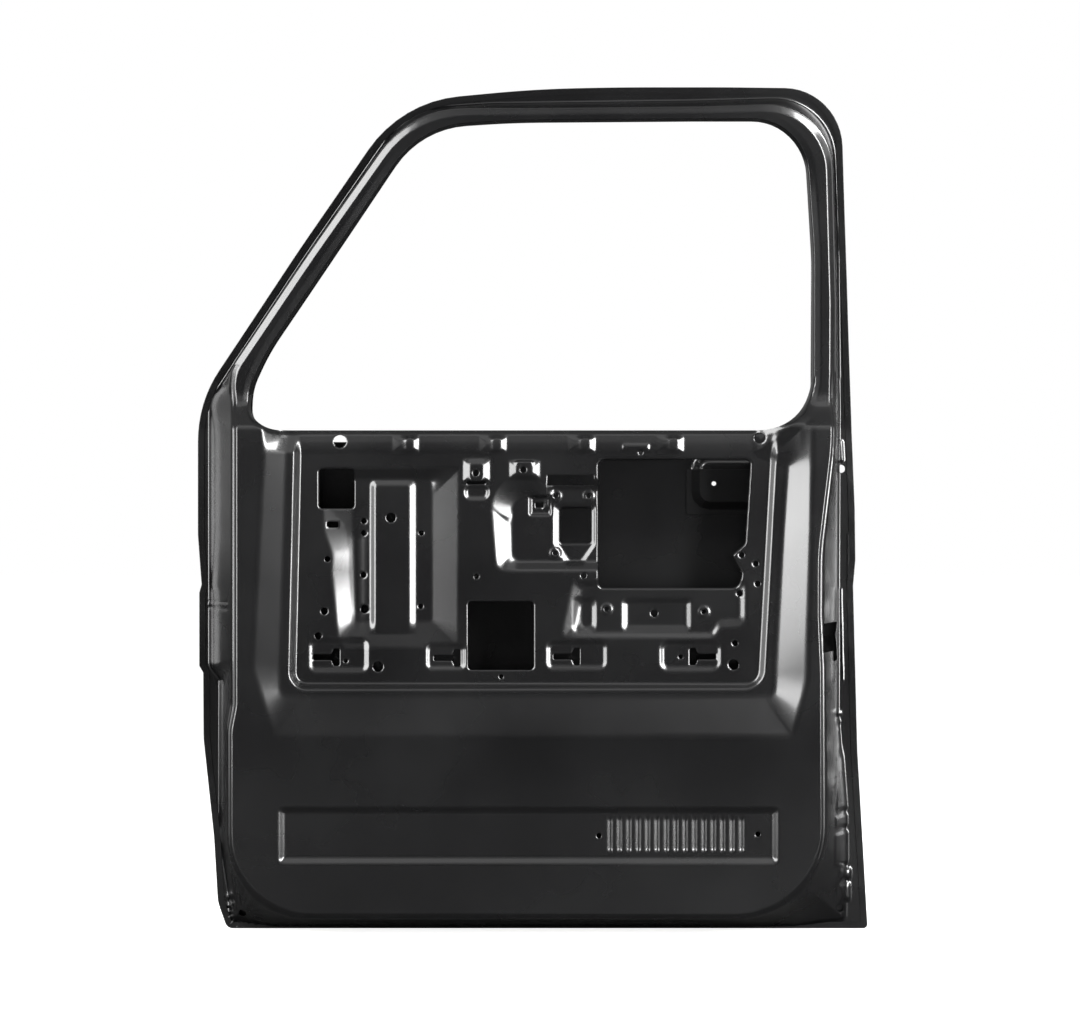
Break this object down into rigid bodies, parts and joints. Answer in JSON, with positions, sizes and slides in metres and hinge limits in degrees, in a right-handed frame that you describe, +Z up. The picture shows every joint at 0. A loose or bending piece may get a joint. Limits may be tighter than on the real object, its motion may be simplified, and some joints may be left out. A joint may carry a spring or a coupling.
{
  "type": "vehicle door shell",
  "caption": "Bare stamped-steel front door shell of a pickup truck with a full window frame, seen ready for its trim, latch and glass.",
  "frame": {"origin": "bottom centre of the door's bounding box", "axes": "+X from the hinge edge to the latch edge, +Y outboard, +Z up; the cab side faces -Y"},
  "size_m": [1.0214, 0.1468, 1.27],
  "materials": {
    "black_primer": "satin-gloss black electro-coat primer",
    "primed_steel": "satin black primer on thicker steel"
  },
  "bodies": {
    "root": {"inner_panel": "black_primer", "outer_panel": "black_primer", "belt_reinforcement_inner": "primed_steel", "belt_reinforcement_outer": "primed_steel", "upper_hinge_reinforcement": "primed_steel", "upper_hinge_tapping_plate": "primed_steel", "upper_hinge_cage": "primed_steel", "lower_hinge_reinforcement": "primed_steel", "lower_hinge_tapping_plate": "primed_steel", "lower_hinge_cage": "primed_steel", "latch_reinforcement": "primed_steel", "handle_reinforcement": "primed_steel", "mirror_reinforcement": "primed_steel", "regulator_reinforcement": "primed_steel", "lock_pillar_reinforcement": "primed_steel", "weld_nut_1": "primed_steel", "weld_nut_2": "primed_steel", "weld_nut_3": "primed_steel", "weld_nut_4": "primed_steel", "weld_nut_5": "primed_steel"}
  },
  "joints": []
}
